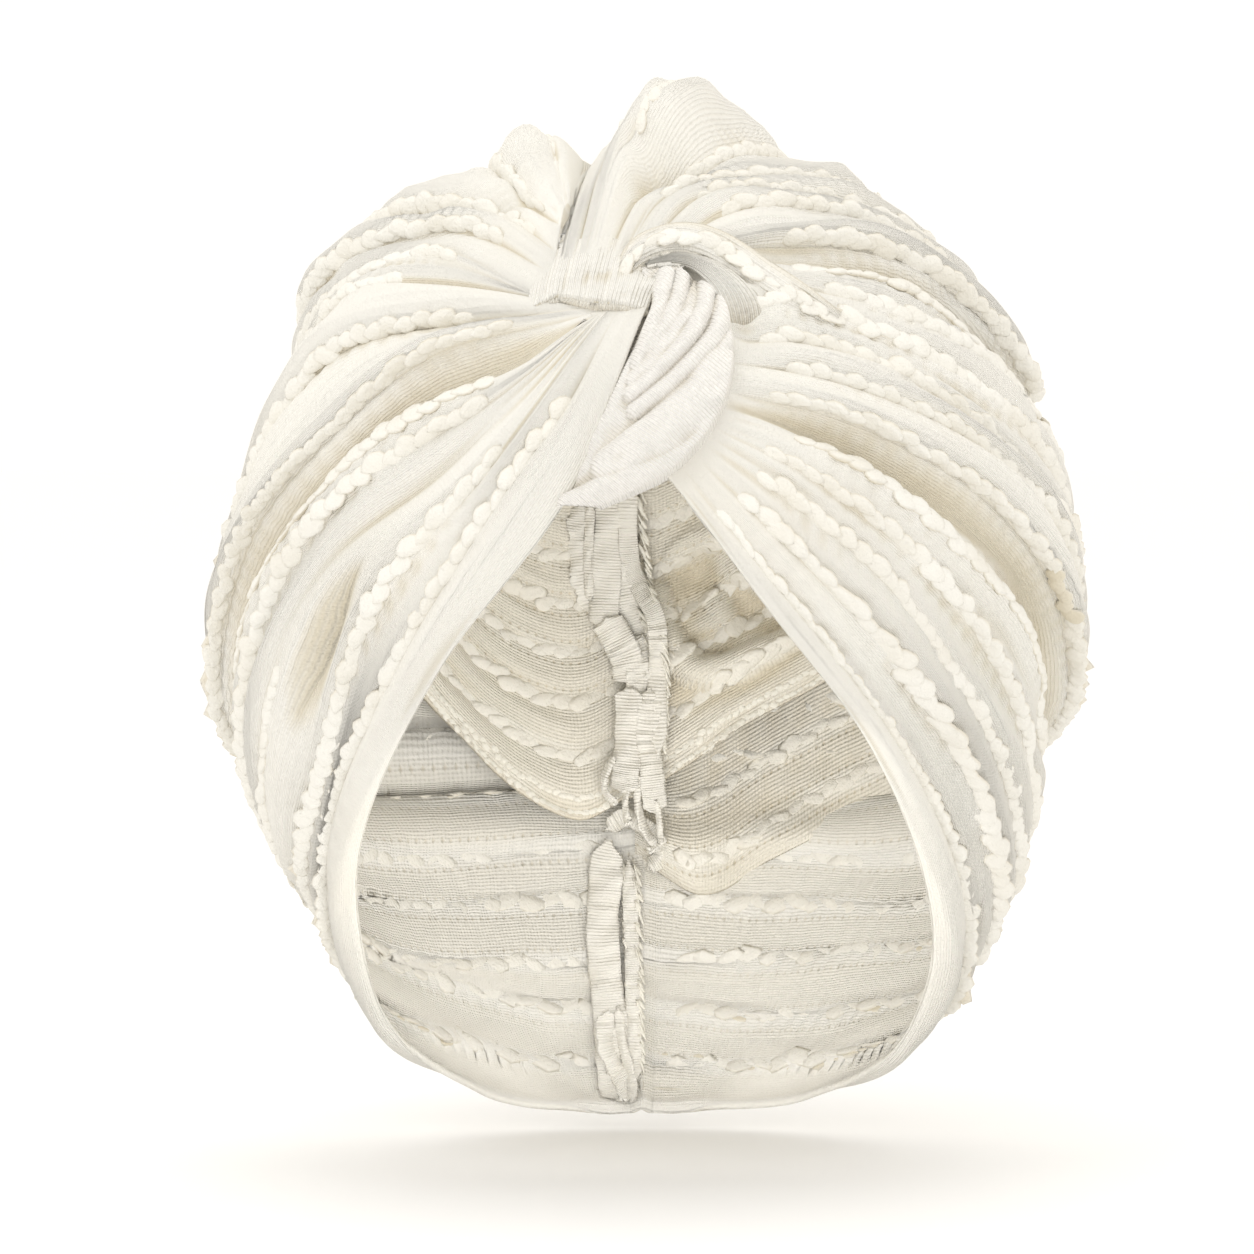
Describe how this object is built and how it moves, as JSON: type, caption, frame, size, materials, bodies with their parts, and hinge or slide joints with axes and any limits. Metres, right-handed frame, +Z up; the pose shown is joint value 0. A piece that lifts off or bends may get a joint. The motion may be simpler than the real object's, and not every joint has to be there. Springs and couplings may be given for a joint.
{
  "type": "turban hat",
  "caption": "Soft pre-tied turban hat with striped puffed jersey panels gathered into a twisted front knot and sewn down the back.",
  "frame": {"origin": "inside the crown, where the top of the head bears on the cloth", "axes": "+Z up, -Y toward the face and the front knot, +X toward the wearer's left"},
  "size_m": [0.2015, 0.21, 0.2458],
  "materials": {
    "jersey": "matte ivory striped jersey with puffed rows",
    "jersey_knot": "matte ivory jersey, pleated",
    "jersey_inside": "wrong side of the ivory jersey",
    "raw_seam": "raw overlocked jersey edge"
  },
  "bodies": {
    "root": {"panel_left": "jersey", "panel_right": "jersey", "knot_tongue": "jersey_knot", "knot_collar": "jersey_knot", "drape_left": "jersey_inside", "drape_right": "jersey_inside", "seam_ruffle_upper": "raw_seam", "seam_ruffle_lower": "raw_seam"}
  },
  "joints": []
}
